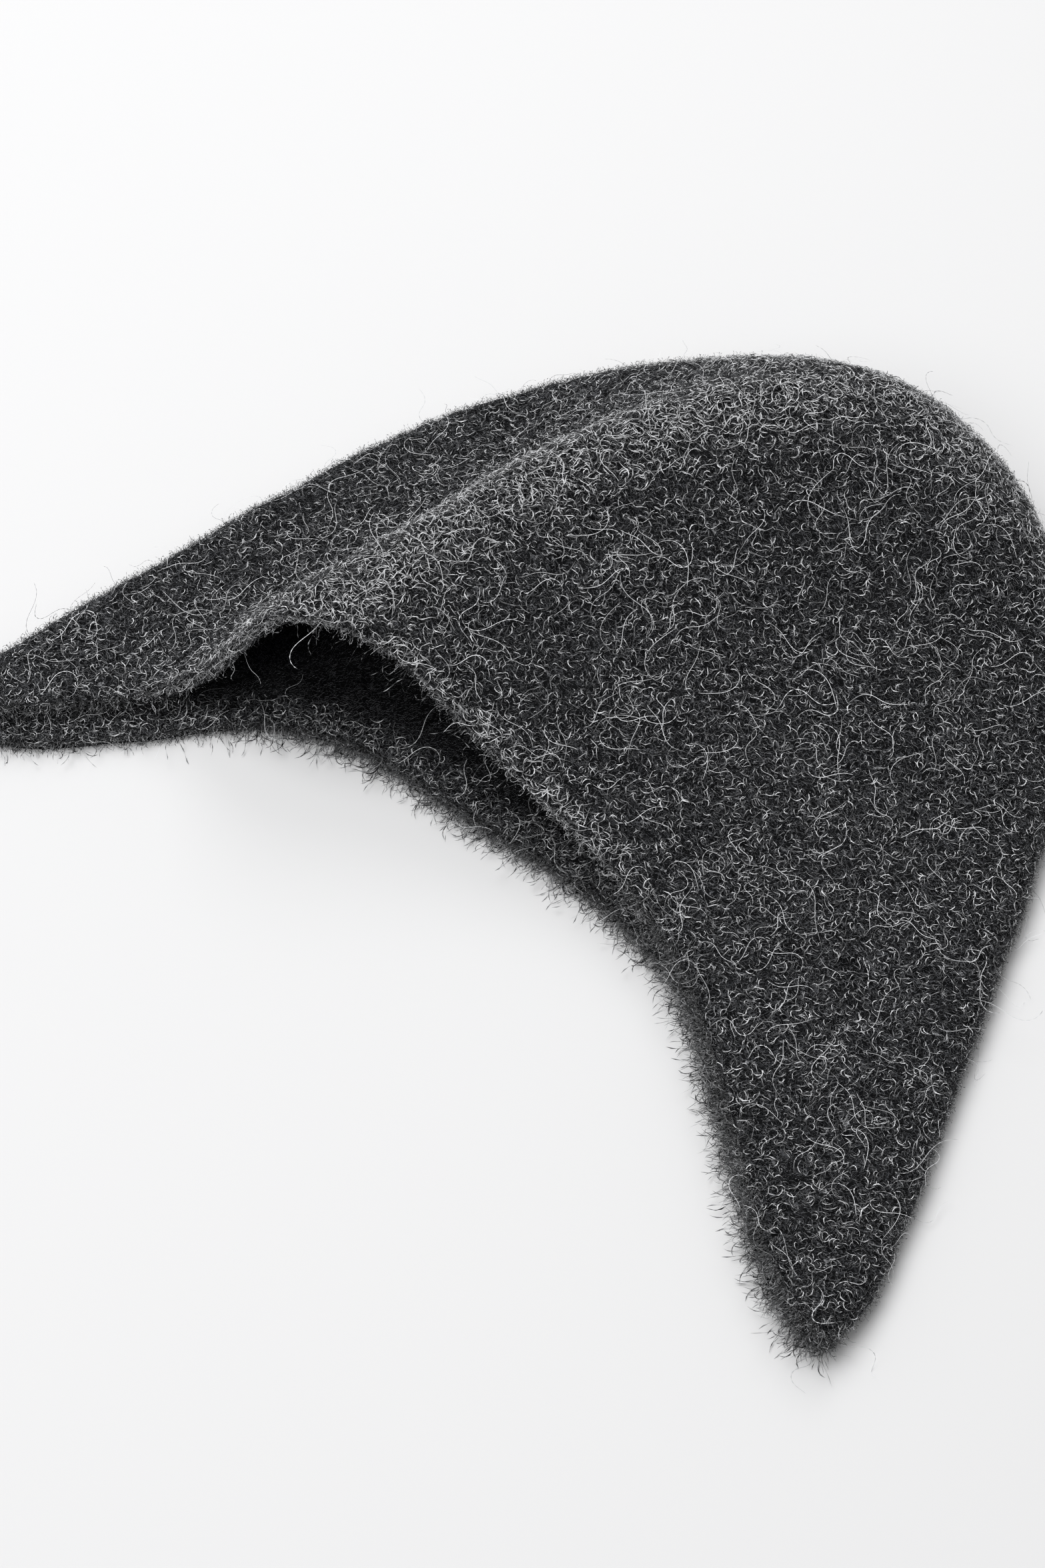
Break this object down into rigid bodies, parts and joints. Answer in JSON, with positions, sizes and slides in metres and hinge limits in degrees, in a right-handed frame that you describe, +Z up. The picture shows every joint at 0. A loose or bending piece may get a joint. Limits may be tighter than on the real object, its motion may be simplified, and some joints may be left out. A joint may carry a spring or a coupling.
{
  "type": "felted knit cap with ear flaps",
  "caption": "Seamless felted wool cap with pointed ear flaps, folded flat on its side with the upper layer lifted in a crest and the mouth open.",
  "frame": {"origin": "centre of the lying cap's outline box, on the surface that it lies on", "axes": "+X from the left flap to the right flap, +Y from the mouth to the crown, +Z up"},
  "size_m": [0.3152, 0.2556, 0.0495],
  "materials": {
    "charcoal_felt": "matte"
  },
  "bodies": {
    "root": {"felt_cap": "charcoal_felt"}
  },
  "joints": []
}
